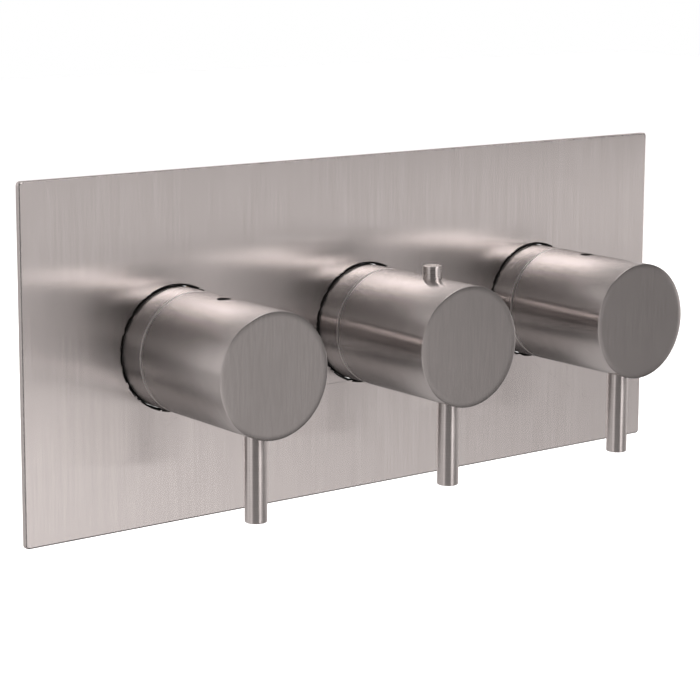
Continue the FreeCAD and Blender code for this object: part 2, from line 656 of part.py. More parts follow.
def thermostat_housing():
    nose = facet(THERMO_AXIS, NOSE_FRONT, SHOULDER_START, NOSE_R)
    shoulder = facet(THERMO_AXIS, SHOULDER_START, THERMO_FLANGE, SHOULDER_R)
    barrel = facet(THERMO_AXIS, THERMO_FLANGE, THERMO_SEAT, THERMO_BARREL_R)
    body = joined([nose, shoulder, barrel])
    body = body.cut(facet(THERMO_AXIS, NOSE_FRONT, THERMO_SEAT, NOSE_BORE_R, hole=True))
    body = body.cut(facet(THERMO_AXIS, CARRIAGE_BORE_START, THERMO_SEAT, CARRIAGE_BORE_R, hole=True))
    body = body.cut(facet(THERMO_AXIS, CARRIAGE_BORE_END, THERMO_SEAT, SHUTTLE_BORE_R, hole=True))
    keyway = CARRIAGE_KEY_WIDTH / 2 + CARRIAGE_CLEAR
    deep = CARRIAGE_BORE_R + CARRIAGE_KEY
    body = body.cut(block(-deep, deep, CARRIAGE_BORE_START, CARRIAGE_BORE_END, -keyway, keyway))
    body = body.cut(window_pair(SHUTTLE_START + SHUTTLE_LAP - THERMO_WINDOW))
    body = body.cut(window_pair(SHUTTLE_END - SHUTTLE_LAP))
    for start in oring_places():
        groove = facet(THERMO_AXIS, start, start + ORING_SECTION, THERMO_BORE_R + TOOL_SPARE)
        groove = groove.cut(facet(THERMO_AXIS, start, start + ORING_SECTION,
                                  THERMO_BARREL_R - ORING_SECTION))
        body = body.cut(groove)
    return body


def thermostat_orings():
    rings = []
    for start in oring_places():
        first, last = start + ORING_SQUEEZE, start + ORING_SECTION - ORING_SQUEEZE
        ring = facet(THERMO_AXIS, first, last, THERMO_BORE_R - ORING_SQUEEZE)
        inner = THERMO_BARREL_R - ORING_SECTION + ORING_SQUEEZE
        rings.append(ring.cut(facet(THERMO_AXIS, first, last, inner, hole=True)))
    return Part.makeCompound(rings)


def thermostat_ring_nut():
    nut = facet(THERMO_AXIS, SOCKET_FRONT, THERMO_FLANGE, THERMO_MOUTH_R - THREAD_CLEAR)
    nut = nut.cut(facet(THERMO_AXIS, SOCKET_FRONT, THERMO_FLANGE, SHOULDER_R + NUT_CLEAR, hole=True))
    half = NUT_SLOT_WIDTH / 2
    for i in range(NUT_SLOTS):
        slot = block(SHOULDER_R, THERMO_MOUTH_R, SOCKET_FRONT, SOCKET_FRONT + NUT_SLOT_DEPTH, -half, half)
        slot.rotate(Vector(0, 0, 0), Vector(0, 1, 0), 360 * (i + 0.5) / NUT_SLOTS)
        nut = nut.cut(slot)
    return nut


def thermostat_base():
    """The end ring that the return spring stands on: mixed water leaves round the capsule."""
    outer = SHUTTLE_BORE_R - SHUTTLE_CLEAR
    start = THERMO_SEAT - BASE_THICK
    base = facet(THERMO_AXIS, start, THERMO_SEAT, outer)
    base = base.cut(facet(THERMO_AXIS, start, THERMO_SEAT, CAPSULE_R + CAPSULE_ROOM, hole=True))
    return base.cut(facet(THERMO_AXIS, start + BASE_THICK / 2, THERMO_SEAT, RETURN_SPRING_R, hole=True))


def thermostat_spindle():
    """Splined in front; its thrust collar turns behind the nose, and its thread drives the carriage."""
    collar_end = COLLAR_START + THRUST_COLLAR
    return joined([
        spline(THERMO_AXIS, THERMO_SPINDLE_FRONT, THERMO_SPLINE_END, SPINDLE_R),
        facet(THERMO_AXIS, THERMO_SPLINE_END, COLLAR_START, NOSE_BORE_R - SPINDLE_CLEAR),
        facet(THERMO_AXIS, COLLAR_START, collar_end, THRUST_COLLAR_R),
        facet(THERMO_AXIS, collar_end, CUP_START - SPINDLE_END_FLOAT, SPINDLE_R),
    ])


def carriage():
    """The nut that can't turn: it slides along its two keys as the spindle turns in it."""
    outer = CARRIAGE_BORE_R - CARRIAGE_CLEAR
    deep = outer + CARRIAGE_KEY
    half = CARRIAGE_KEY_WIDTH / 2
    keys = block(-deep, deep, CARRIAGE_FRONT, CUP_START, -half, half)
    body = joined([facet(THERMO_AXIS, CARRIAGE_FRONT, CARRIAGE_BACK, outer), keys])
    body = body.cut(facet(THERMO_AXIS, CARRIAGE_FRONT, CUP_START, SPINDLE_R + THREAD_CLEAR, hole=True))
    return body.cut(facet(THERMO_AXIS, CUP_START, CARRIAGE_BACK, CARRIAGE_CUP_R, hole=True))


def overload_spring():
    return coil(THERMO_AXIS, CUP_START, PLATE_START, OVERLOAD_SPRING_R, OVERLOAD_WIRE, OVERLOAD_TURNS)


def pressure_plate():
    plate = facet(THERMO_AXIS, PLATE_START, PLATE_START + PRESSURE_PLATE, CARRIAGE_CUP_R - CARRIAGE_CLEAR)
    return plate.cut(facet(THERMO_AXIS, PISTON_START, PLATE_START + PRESSURE_PLATE, PISTON_R, hole=True))


def wax_piston():
    return facet(THERMO_AXIS, PISTON_START, PISTON_START + PISTON_LENGTH, PISTON_R)


def wax_element():
    """A brass capsule of wax that pushes its piston out as the mixed water warms."""
    body = joined([
        facet(THERMO_AXIS, GUIDE_START, FLANGE_START, ELEMENT_GUIDE_R),
        facet(THERMO_AXIS, FLANGE_START, WEB_START, ELEMENT_FLANGE_R),
        facet(THERMO_AXIS, WEB_START, WEB_START + CAPSULE_LENGTH, CAPSULE_R),
    ])
    return body.cut(facet(THERMO_AXIS, GUIDE_START, PISTON_START + PISTON_LENGTH, PISTON_R, hole=True))


def shuttle():
    """The ring that opens one window as it closes the other, with a slotted web on the element."""
    outer = SHUTTLE_BORE_R - SHUTTLE_CLEAR
    ring = facet(THERMO_AXIS, SHUTTLE_START, SHUTTLE_END, outer)
    inner = outer - SHUTTLE_WALL
    ring = ring.cut(facet(THERMO_AXIS, SHUTTLE_START, WEB_START, inner, hole=True))
    ring = ring.cut(facet(THERMO_AXIS, WEB_START + SHUTTLE_WEB, SHUTTLE_END, inner, hole=True))
    ring = ring.cut(facet(THERMO_AXIS, WEB_START, WEB_START + SHUTTLE_WEB, CAPSULE_R, hole=True))
    for i in range(SHUTTLE_SLOTS):
        first = 360 * i / SHUTTLE_SLOTS - SHUTTLE_SLOT_ANGLE / 2
        ring = ring.cut(sector(THERMO_AXIS, WEB_START, WEB_START + SHUTTLE_WEB, ELEMENT_FLANGE_R,
                               SHUTTLE_SLOT_R, first, first + SHUTTLE_SLOT_ANGLE))
    return ring


def return_spring():
    start = WEB_START + SHUTTLE_WEB
    return coil(THERMO_AXIS, start, THERMO_SEAT - BASE_THICK, RETURN_SPRING_R, RETURN_WIRE, RETURN_TURNS)


# ---- check valve and strainer in each inlet ----
SEAT_TOP = CHECK_SEAT - CHECK_BRIDGE - CHECK_SPRING_SHUT - POPPET_LIFT - POPPET_THICK
CHECK_BOTTOM = SEAT_TOP - CHECK_SEAT_THICK


def check_body(axis):
    """A tube with its seat below and a bridge above that guides the poppet's stem."""
    outer = CHECK_BORE_R - CHECK_CLEAR
    tube = facet(axis, CHECK_BOTTOM, CHECK_SEAT, outer)
    tube = tube.cut(facet(axis, CHECK_BOTTOM, SEAT_TOP, CHECK_SEAT_R, hole=True))
    tube = tube.cut(facet(axis, SEAT_TOP, CHECK_SEAT, CHECK_CHAMBER_R, hole=True))
    half = CHECK_BRIDGE_WIDTH / 2
    start = CHECK_SEAT - CHECK_BRIDGE
    bridge = facet(axis, start, CHECK_SEAT, outer).common(
        block(axis[1] - outer, axis[1] + outer, axis[2] - half, axis[2] + half, start, CHECK_SEAT))
    hole = facet(axis, start, CHECK_SEAT, POPPET_STEM_R + POPPET_CLEAR, hole=True)
    return joined([tube, bridge]).cut(hole)


def check_poppet(axis):
    return joined([
        facet(axis, SEAT_TOP + DISC_FILM, SEAT_TOP + POPPET_THICK, POPPET_R),
        facet(axis, SEAT_TOP + POPPET_THICK, CHECK_SEAT - POPPET_CLEAR, POPPET_STEM_R),
    ])


def check_spring(axis):
    start = SEAT_TOP + POPPET_THICK
    return coil(axis, start, CHECK_SEAT - CHECK_BRIDGE, CHECK_SPRING_R, CHECK_WIRE, CHECK_TURNS)


def strainer(axis):
    """A slotted cup with a rim, pushed in under the check valve."""
    top = CHECK_BOTTOM - STRAINER_GAP
    rim = top - STRAINER_FLANGE
    bottom = top - STRAINER_LENGTH
    cup = joined([
        facet(axis, rim, top, CHECK_BORE_R - CHECK_CLEAR),
        facet(axis, bottom, rim, STRAINER_R),
    ])
    cup = cup.cut(facet(axis, bottom + STRAINER_WALL, top, STRAINER_R - STRAINER_WALL, hole=True))
    for i in range(STRAINER_SLOTS):
        slot = block(0, CHECK_BORE_R, -STRAINER_WALL, STRAINER_WALL,
                     bottom + STRAINER_LIP, rim - STRAINER_LIP)
        slot.rotate(Vector(0, 0, 0), Vector(0, 0, 1), 360 * (i + 0.5) / STRAINER_SLOTS)
        slot.translate(Vector(axis[1], axis[2], 0))
        cup = cup.cut(slot)
    return cup


# ---- valve body ----
def fixing_lug(x):
    """A flat tab behind the gallery with a screw hole at each end."""
    front = BODY_BACK - LUG_THICK
    tab = block(x - LUG_R, x + LUG_R, front, BODY_BACK, -LUG_Z, LUG_Z)
    for z in (-LUG_Z, LUG_Z):
        tab = tab.fuse(drum(("Y", x, z), front, BODY_BACK, LUG_R))
    for z in (-LUG_Z, LUG_Z):
        tab = tab.cut(drum(("Y", x, z), front, BODY_BACK, LUG_HOLE_R))
    return tab


def flow_socket_bore(x):
    """The tools that open a flow socket, its outlet and its way to the gallery."""
    socket, outlet = ("Y", x, 0), ("Z", x, OUTLET_DEPTH)
    thread_end = OUTLET_TOP - STUB_THREAD_LENGTH
    return [
        facet(socket, SOCKET_FRONT, FLOW_SEAT, FLOW_BORE_R, hole=True),
        facet(socket, FLOW_SEAT, GALLERY_Y, GALLERY_R, hole=True),
        drum(outlet, thread_end, OUTLET_TOP, STUB_THREAD_R),
        facet(outlet, 0, thread_end, OUTLET_PORT_R, hole=True),
    ]


def inlet_bore(x, depth):
    """The tools that open an inlet: its thread, the check valve's bore, and the way across."""
    axis = ("Z", x, depth)
    thread_end = INLET_BOTTOM + STUB_THREAD_LENGTH
    return [
        drum(axis, INLET_BOTTOM, thread_end, STUB_THREAD_R),
        facet(axis, thread_end, CHECK_SEAT, CHECK_BORE_R, hole=True),
        facet(axis, CHECK_SEAT, GALLERY_R, INLET_PORT_R, hole=True),
        facet(("X", depth, 0), min(x, 0), max(x, 0), GALLERY_R, hole=True),
    ]


def valve_body():
    """The brass casting: three sockets on one gallery, two inlets below and two outlets above."""
    inlets = ((-INLET_OFFSET, HOT_DEPTH), (INLET_OFFSET, COLD_DEPTH))
    gallery = ("X", GALLERY_Y, 0)
    metal = [flats(gallery, -GALLERY_END, GALLERY_END, GALLERY_ACROSS, 8)]
    metal += [drum(("Y", x, 0), SOCKET_FRONT, BODY_BACK, SOCKET_OUTER_R) for x in (LEFT, MIDDLE, RIGHT)]
    metal += [flats(("Z", x, OUTLET_DEPTH), 0, OUTLET_TOP, STUB_ACROSS, 8) for x in (LEFT, RIGHT)]
    for x, depth in inlets:
        metal.append(flats(("Z", x, depth), INLET_BOTTOM, INLET_TOP, STUB_ACROSS, 8))
        metal.append(flats(("X", depth, 0), min(x, 0), max(x, 0), LINK_ACROSS, 8))
    metal += [fixing_lug(-LUG_X), fixing_lug(LUG_X)]
    body = joined(metal)
    holes = [facet(gallery, -GALLERY_END, GALLERY_END, GALLERY_R, hole=True)]
    holes += [
        facet(THERMO_AXIS, SOCKET_FRONT, THERMO_FLANGE, THERMO_MOUTH_R, True),
        facet(THERMO_AXIS, THERMO_FLANGE, THERMO_SEAT, THERMO_BORE_R, hole=True),
        facet(THERMO_AXIS, THERMO_SEAT, GALLERY_Y + GALLERY_R, THERMO_SEAT_R, hole=True),
    ]
    holes += flow_socket_bore(LEFT) + flow_socket_bore(RIGHT)
    for x, depth in inlets:
        holes += inlet_bore(x, depth)
    for hole in holes:
        body = body.cut(hole)
    return body.removeSplitter()


def gallery_plugs():
    """A hexagon-headed brass plug in each end of the drilled gallery."""
    plugs = []
    for side in (-1, 1):
        axis = ("X", GALLERY_Y, 0)
        end, inner, outer = (side * v for v in (GALLERY_END, GALLERY_END - PLUG_LENGTH,
                                                GALLERY_END + PLUG_HEAD))
        plugs.append(joined([
            facet(axis, min(end, inner), max(end, inner), GALLERY_R - THREAD_CLEAR),
            flats(axis, min(end, outer), max(end, outer), PLUG_HEAD_AF, 6),
        ]))
    return Part.makeCompound(plugs)


# ---- the whole valve ----
PIECES = {
    "cover_plate": cover_plate(),
    "plate_gasket": plate_gasket(),
    "valve_body": valve_body(),
    "gallery_plugs": gallery_plugs(),
    "temperature_sleeve": sleeve(MIDDLE),
    "temperature_knob": temperature_knob(),
    "temperature_lever": lever(MIDDLE),
    "temperature_grub_screw": grub_screw(("X", LEVER_Y, 0), TEMP_HUB_R + HUB_CLEAR),
    "temperature_hub": temperature_hub(),
    "override_button": override_button(),
    "override_catch": override_catch(),
    "override_spring": override_spring(),
    "stop_ring": stop_ring(),
    "thermostat_housing": thermostat_housing(),
    "thermostat_orings": thermostat_orings(),
    "thermostat_ring_nut": thermostat_ring_nut(),
    "thermostat_base": thermostat_base(),
    "thermostat_spindle": thermostat_spindle(),
    "carriage": carriage(),
    "overload_spring": overload_spring(),
    "pressure_plate": pressure_plate(),
    "wax_piston": wax_piston(),
    "wax_element": wax_element(),
    "shuttle": shuttle(),
    "return_spring": return_spring(),
}
for side, x in (("left", LEFT), ("right", RIGHT)):
    PIECES[side + "_sleeve"] = sleeve(x)
    PIECES[side + "_flow_knob"] = flow_knob(x)
    PIECES[side + "_lever"] = lever(x)
    PIECES[side + "_grub_screw"] = grub_screw(("Z", x, GRUB_Y), HUB_R + HUB_CLEAR)
    PIECES[side + "_hub"] = flow_hub(x)
    PIECES[side + "_flow_housing"] = flow_housing(x)
    PIECES[side + "_flow_orings"] = flow_orings(x)
    PIECES[side + "_flow_spindle"] = flow_spindle(x)
    PIECES[side + "_moving_disc"] = moving_disc(x)
    PIECES[side + "_fixed_disc"] = fixed_disc(x)
    PIECES[side + "_seat_seal"] = seat_seal(x)
for side, x, depth in (("hot", -INLET_OFFSET, HOT_DEPTH), ("cold", INLET_OFFSET, COLD_DEPTH)):
    PIECES[side + "_strainer"] = strainer(("Z", x, depth))
    PIECES[side + "_check_body"] = check_body(("Z", x, depth))
    PIECES[side + "_check_poppet"] = check_poppet(("Z", x, depth))
    PIECES[side + "_check_spring"] = check_spring(("Z", x, depth))

os.makedirs("parts", exist_ok=True)
for name, shape in PIECES.items():
    shape.exportStep("parts/" + name + ".step")
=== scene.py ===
import json
import math

import bmesh
import bpy
from mathutils import Matrix, Vector


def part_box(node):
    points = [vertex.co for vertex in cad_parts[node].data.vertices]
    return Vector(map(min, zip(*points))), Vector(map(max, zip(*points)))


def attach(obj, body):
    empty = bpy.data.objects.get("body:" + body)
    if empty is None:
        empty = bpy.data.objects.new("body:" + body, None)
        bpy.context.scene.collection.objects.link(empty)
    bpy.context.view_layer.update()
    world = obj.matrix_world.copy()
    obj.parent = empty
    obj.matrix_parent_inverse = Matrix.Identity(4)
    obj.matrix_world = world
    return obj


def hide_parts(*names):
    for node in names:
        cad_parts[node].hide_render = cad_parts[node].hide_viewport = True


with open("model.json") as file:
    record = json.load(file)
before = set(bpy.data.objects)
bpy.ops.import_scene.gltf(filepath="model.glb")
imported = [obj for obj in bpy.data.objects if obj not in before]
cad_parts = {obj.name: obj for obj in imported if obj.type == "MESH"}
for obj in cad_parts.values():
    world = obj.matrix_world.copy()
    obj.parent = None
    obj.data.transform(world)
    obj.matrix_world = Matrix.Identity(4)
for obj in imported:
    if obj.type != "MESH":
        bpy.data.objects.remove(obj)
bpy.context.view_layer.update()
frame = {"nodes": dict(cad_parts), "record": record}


# ---- cover plate ----
# A 2 mm sheet of stainless steel with three laser-cut holes, linished so that its grain runs up and
# down. Its outside edges and corners are just broken, and the three sleeves clamp it in place.
PLATE_LOW, PLATE_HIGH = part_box("cover_plate")
PLATE_CORNER_R, CORNER_STEPS = 0.0015, 6
PLATE_EDGE_R, EDGE_STEPS = 0.0006, 3
PLATE_HOLE_R, HOLE_STEPS = 0.0231, 128
PLATE_HOLE_EDGE_R, HOLE_EDGE_STEPS = 0.0005, 2
PITCH = 0.087
PLACES = (("left", -PITCH), ("temperature", 0.0), ("right", PITCH))
SHARP, SQUARE = math.radians(30), 1.0
SQUARE_ON = 0.9999
STEEL = (0.585, 0.555, 0.545)
# Painted light: the plate's steel is made 1.2 times lighter than the knobs'.
PLATE_PAINTED_LIGHTER = 1.2
PLATE_ROUGHNESS, PLATE_SCRATCHES, PLATE_SPREAD = 0.21, 0.05, 1.0
FINE_RELIEF = 0.00001


class Socket:
    """A shader socket that takes part in sums, and adds the Math nodes that they need."""

    def __init__(self, shader, link):
        self.shader, self.link = shader, link

    def maths(self, operation, *others):
        return self.shader.add("ShaderNodeMath", {"operation": operation}, [self, *others])

    def __add__(self, other):
        return self.maths("ADD", other)

    def __mul__(self, other):
        return self.maths("MULTIPLY", other)

    def __rsub__(self, other):
        return self.shader.add("ShaderNodeMath", {"operation": "SUBTRACT"}, [other, self])

    __radd__, __rmul__ = __add__, __mul__

    def between(self, low, high):
        """0 below low, 1 above high, and a smooth step between them."""
        return self.shader.add("ShaderNodeMapRange", {"interpolation_type": "SMOOTHSTEP"},
                               {"Value": self, "From Min": low, "From Max": high})


class Shader:
    """The node tree of a material or world, with one method that adds any node."""

    # The Mix node's places for two colours and for their mixture.
    FIRST_COLOUR, SECOND_COLOUR, MIXED_COLOUR = 6, 7, 2

    def __init__(self, owner):
        owner.use_nodes = True
        self.tree = owner.node_tree
        self.tree.nodes.clear()

    def add(self, kind, settings=None, inputs=(), output=0):
        node = self.tree.nodes.new(kind)
        for name, value in (settings or {}).items():
            setattr(node, name, value)
        for key, value in (inputs.items() if isinstance(inputs, dict) else enumerate(inputs)):
            if isinstance(value, Socket):
                self.tree.links.new(value.link, node.inputs[key])
            else:
                node.inputs[key].default_value = value
        return Socket(self, node.outputs[output]) if node.outputs else None

    def noise(self, scale, detail, roughness, stretch=(1, 1, 1), turn=(0, 0, 0)):
        """Noise in the piece's own space; a stretch below 1 draws it out along that axis."""
        here = self.add("ShaderNodeTexCoord", output="Object")
        moves = {"Vector": here, "Rotation": turn, "Scale": stretch}
        place = self.add("ShaderNodeMapping", {}, moves)
        return self.add("ShaderNodeTexNoise", {"noise_dimensions": "3D"},
                        {"Vector": place, "Scale": scale, "Detail": detail, "Roughness": roughness})

    def mix(self, share, first, second):
        inputs = {"Factor": share, self.FIRST_COLOUR: first, self.SECOND_COLOUR: second}
        return self.add("ShaderNodeMix", {"data_type": "RGBA"}, inputs, output=self.MIXED_COLOUR)

    def bump(self, height, strength, distance):
        inputs = {"Strength": strength, "Distance": distance, "Height": height}
        return self.add("ShaderNodeBump", {}, inputs)

    def surface(self, **inputs):
        """The Principled shader and the material's output; a name's _ stands for a space."""
        named = {name.replace("_", " "): value for name, value in inputs.items()}
        skin = self.add("ShaderNodeBsdfPrincipled", {}, named)
        self.add("ShaderNodeOutputMaterial", {}, [skin])


def tint(colour, share=1.0):
    return (*(share * c for c in colour), 1.0)


def mottled(colour, grain, cloud, tints, clouded, share, span=(0.3, 0.7), cloud_span=(0.4, 0.7)):
    """A colour between two tints with the grain, and partly of a third one in the clouds."""
    dark, light = tints
    base = grain.shader.mix(grain.between(*span), tint(colour, dark), tint(colour, light))
    return grain.shader.mix(cloud.between(*cloud_span) * share, base, tint(colour, clouded))


def linished_steel():
    """Straight grain up and down, which spreads reflections sideways, with faint long scratches."""
    material = bpy.data.materials.new("linished_steel")
    shader = Shader(material)
    fine = shader.noise(scale=9000, detail=3, roughness=0.6, stretch=(1, 1, 0.012))
    lines = shader.noise(scale=1500, detail=3, roughness=0.6, stretch=(1, 1, 0.02))
    broad = shader.noise(scale=260, detail=2, roughness=0.5, stretch=(1, 1, 0.1))
    cloud = shader.noise(scale=26, detail=3, roughness=0.55, stretch=(1, 1, 1.4))
    grain = fine * 0.4 + lines * 0.4 + broad * 0.2
    # Painted light: the plate's steel, lighter than the knobs'.
    steel = [PLATE_PAINTED_LIGHTER * c for c in STEEL]
    colour = mottled(steel, grain, cloud, tints=(0.95, 1.04), clouded=0.94, share=0.4,
                     span=(0.35, 0.65), cloud_span=(0.35, 0.7))
    shader.surface(Base_Color=colour, Metallic=1.0, Anisotropic=PLATE_SPREAD,
                   Roughness=grain * PLATE_SCRATCHES + PLATE_ROUGHNESS,
                   Normal=shader.bump(grain, strength=0.1, distance=FINE_RELIEF))
    return material


def laser_skin_gap_shade():
    """Steel left as the laser cut it, with a brown-black skin, darkened to near black as painted
    shade for the gap round each sleeve.
    """
    material = bpy.data.materials.new("laser_skin_gap_shade")
    shader = Shader(material)
    skin = shader.noise(scale=3000, detail=2, roughness=0.6, stretch=(1, 0.1, 1))
    colour = shader.mix(skin, tint((0.012, 0.011, 0.010)), tint((0.03, 0.028, 0.026)))
    shader.surface(Base_Color=colour, Metallic=0.3, Roughness=skin * 0.2 + 0.5)
    return material


def finish_piece(bm, name, body, slot, material, *nodes, flat=False):
    """Makes a mesh a piece that rides on a body and stands for CAD nodes."""
    mesh = bpy.data.meshes.new(name)
    bm.to_mesh(mesh)
    bm.free()
    mesh.set_sharp_from_angle(angle=SHARP)
    for polygon in mesh.polygons:
        polygon.use_smooth = not flat or max(map(abs, polygon.normal)) < SQUARE_ON
    piece = bpy.data.objects.new(name, mesh)
    bpy.context.scene.collection.objects.link(piece)
    mesh.materials.append(material)
    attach(piece, body)
    if nodes:
        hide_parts(*nodes)
    return piece


def second_finish(piece, material, wanted):
    """Gives a second material to the faces that a test picks."""
    piece.data.materials.append(material)
    index = len(piece.data.materials) - 1
    for polygon in piece.data.polygons:
        if wanted(polygon):
            polygon.material_index = index


def round_edges(bm, edges, width, steps):
    bmesh.ops.bevel(bm, geom=edges, offset=width, offset_type="OFFSET", affect="EDGES",
                    segments=steps, profile=0.5, material=-1)


def ring_of_edges(bm, x, radius, y):
    """A closed loop of edges round a knob's axis."""
    turn = Matrix.Translation((x, y, 0)) @ Matrix.Rotation(math.pi / 2, 4, "X")
    made = bmesh.ops.create_circle(bm, segments=HOLE_STEPS, radius=radius, matrix=turn)
    return list(dict.fromkeys(e for v in made["verts"] for e in v.link_edges))


def cover_plate():
    bm = bmesh.new()
    back, front = PLATE_HIGH.y, PLATE_LOW.y
    corners = [bm.verts.new((x, back, z)) for x, z in (
        (PLATE_LOW.x, PLATE_LOW.z), (PLATE_HIGH.x, PLATE_LOW.z),
        (PLATE_HIGH.x, PLATE_HIGH.z), (PLATE_LOW.x, PLATE_HIGH.z))]
    outline = [bm.edges.new((corners[i], corners[(i + 1) % 4])) for i in range(4)]
    for _, x in PLACES:
        outline += ring_of_edges(bm, x, PLATE_HOLE_R, back)
    bmesh.ops.triangle_fill(bm, use_beauty=True, edges=outline)
    made = bmesh.ops.extrude_face_region(bm, geom=bm.faces[:], use_keep_orig=True)["geom"]
    bmesh.ops.translate(bm, vec=(0, front - back, 0),
                        verts=[g for g in made if isinstance(g, bmesh.types.BMVert)])
    bmesh.ops.recalc_face_normals(bm, faces=bm.faces[:])

    def at_rim(vert):
        reach = 1.01 * PLATE_CORNER_R
        return PLATE_HIGH.x - abs(vert.co.x) < reach or PLATE_HIGH.z - abs(vert.co.z) < reach

    def upright(edge):
        return edge.verts[0].co.y != edge.verts[1].co.y

    def in_front(edge):
        return (edge.calc_face_angle(0) > SQUARE and not upright(edge)
                and edge.verts[0].co.y < (front + back) / 2)

    def in_hole(polygon):
        return any(math.hypot(polygon.center.x - x, polygon.center.z)
                   < PLATE_HOLE_R + PLATE_HOLE_EDGE_R for _, x in PLACES)

    corner_edges = [e for e in bm.edges if upright(e) and all(map(at_rim, e.verts))]
    round_edges(bm, corner_edges, PLATE_CORNER_R, CORNER_STEPS)
    front_edges = [e for e in bm.edges if in_front(e)]
    rims = [e for e in front_edges if at_rim(e.verts[0])]
    rings = [e for e in front_edges if not at_rim(e.verts[0])]
    round_edges(bm, rims, PLATE_EDGE_R, EDGE_STEPS)
    round_edges(bm, rings, PLATE_HOLE_EDGE_R, HOLE_EDGE_STEPS)
    piece = finish_piece(bm, "plate", "valve", "brushed_steel", linished_steel(), "cover_plate",
                         flat=True)
    # The hole walls and their rounded front edge are near black: a laser skin, darkened further as
    # painted shade for the gap.
    second_finish(piece, SKIN_AND_GAP_SHADE, in_hole)


SKIN_AND_GAP_SHADE = laser_skin_gap_shade()
cover_plate()


# ---- sleeves ----
# A stainless tube round each socket, turned in a lathe, so that its fine grain goes round it.
# Each screws over the valve body and clamps the plate; the knob turns a hair in front of it.
KNOB_STEPS = 160
ROUND_STEPS = 3
SLEEVE_EDGE_R = 0.0004
SLEEVE_WALL = 0.0034
SEAM = PLATE_LOW.y + 0.0001
SIDE_ROUGHNESS, SIDE_SCRATCHES, SIDE_SPREAD = 0.2, 0.06, 1.0
EDGE_FACING = (0.1, 0.97)
FAR_ASIDE = 20
ACROSS, ALONG_Y, ALONG_Z = (1, 0, 0), (0, 1, 0), (0, 0, 1)


def turned_steel():
    """Hoops of fine grain round a side, so that reflections spread along the axis."""
    material = bpy.data.materials.new("turned_steel")
    shader = Shader(material)
    fine = shader.noise(scale=6000, detail=3, roughness=0.6, stretch=(0.02, 1, 0.02))
    broad = shader.noise(scale=700, detail=2, roughness=0.5, stretch=(0.05, 1, 0.05))
    cloud = shader.noise(scale=60, detail=2, roughness=0.5)
    grain = fine * 0.7 + broad * 0.3
    colour = mottled(STEEL, grain, cloud, tints=(0.95, 1.04), clouded=0.94, share=0.2)
    shader.surface(Base_Color=colour, Metallic=1.0, Anisotropic=SIDE_SPREAD,
                   Roughness=grain * SIDE_SCRATCHES + SIDE_ROUGHNESS,
                   Normal=shader.bump(grain, strength=0.15, distance=FINE_RELIEF))
    return material


def filed_edge_highlight():
    """Edges broken with a fine file: scratched every way and rough, with a colour lighter than the
    steel's as a painted highlight along the seam between sleeve and knob.
    """
    material = bpy.data.materials.new("filed_edge_highlight")
    shader = Shader(material)
    scratches = shader.noise(scale=4000, detail=2, roughness=0.6)
    colour = shader.mix(scratches, tint((0.70, 0.67, 0.66)), tint((0.82, 0.79, 0.78)))
    shader.surface(Base_Color=colour, Metallic=1.0, Roughness=scratches * 0.1 + 0.5)
    return material


def spread_along_axis(piece, x):
    """Turns the grain's tangent along Y, by a texture space that is centred far to one side."""
    piece.data.use_auto_texspace = False
    piece.data.texspace_location = (x - FAR_ASIDE, 0, 0)
    piece.data.texspace_size = (1, 1, 1)


def arc(centre, radius, first, last, steps):
    """Points of an arc about (along, out), from one angle in degrees to another."""
    angles = [math.radians(first + (last - first) * i / steps) for i in range(steps + 1)]
    return [(centre[0] + radius * math.cos(a), centre[1] + radius * math.sin(a)) for a in angles]


def spun(centre, axis, outline, steps, closed=False):
    """Turns an outline of (distance along, radius) about an axis through a centre."""
    bm = bmesh.new()
    verts = [bm.verts.new([c + along * a + out * o for c, a, o in zip(centre, axis, ACROSS)])
             for along, out in outline]
    pairs = list(zip(verts, verts[1:])) + ([(verts[-1], verts[0])] if closed else [])
    edges = [bm.edges.new(pair) for pair in pairs]
    bmesh.ops.spin(bm, geom=verts + edges, cent=centre, axis=axis, angle=2 * math.pi,
                   steps=steps, use_merge=True)
    bmesh.ops.remove_doubles(bm, verts=bm.verts[:], dist=1e-7)
    bmesh.ops.recalc_face_normals(bm, faces=bm.faces[:])
    return bm


def on_edge(facing):
    """Whether a face that looks this much along the axis belongs to a broken edge."""
    return EDGE_FACING[0] < facing < EDGE_FACING[1]


def sleeve(side, x):
    """The tube; what lies in the plate's hole and behind it takes the near-black cut-edge colour,
    painted shade for the gap round it.
    """
    low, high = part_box(side + "_sleeve")
    outer, e = (high.x - low.x) / 2, SLEEVE_EDGE_R
    inner = outer - SLEEVE_WALL
    outline = arc((low.y + e, outer - e), e, 90, 180, ROUND_STEPS)
    outline += [(low.y, inner), (high.y, inner)]
    outline += arc((high.y - e, outer - e), e, 0, 90, ROUND_STEPS)
    bm = spun((x, 0, 0), ALONG_Y, outline, KNOB_STEPS, closed=True)
    bmesh.ops.bisect_plane(bm, geom=bm.verts[:] + bm.edges[:] + bm.faces[:], dist=1e-6,
                           plane_co=(0, SEAM, 0), plane_no=ALONG_Y)
    piece = finish_piece(bm, side + "_tube", "valve", "brushed_steel", TURNED, side + "_sleeve")
    # Painted shade: the tube from the plate's front face back is near black, where the gap round it
    # lies in shade.
    second_finish(piece, SKIN_AND_GAP_SHADE, lambda polygon: polygon.center.y > SEAM)
    # Painted highlight: the sleeve's broken front edge is lighter than its steel.
    second_finish(piece, FILED_EDGE_HIGHLIGHT, lambda polygon: on_edge(-polygon.normal.y))
    spread_along_axis(piece, x)


TURNED, FILED_EDGE_HIGHLIGHT = turned_steel(), filed_edge_highlight()
for side, x in PLACES:
    sleeve(side, x)


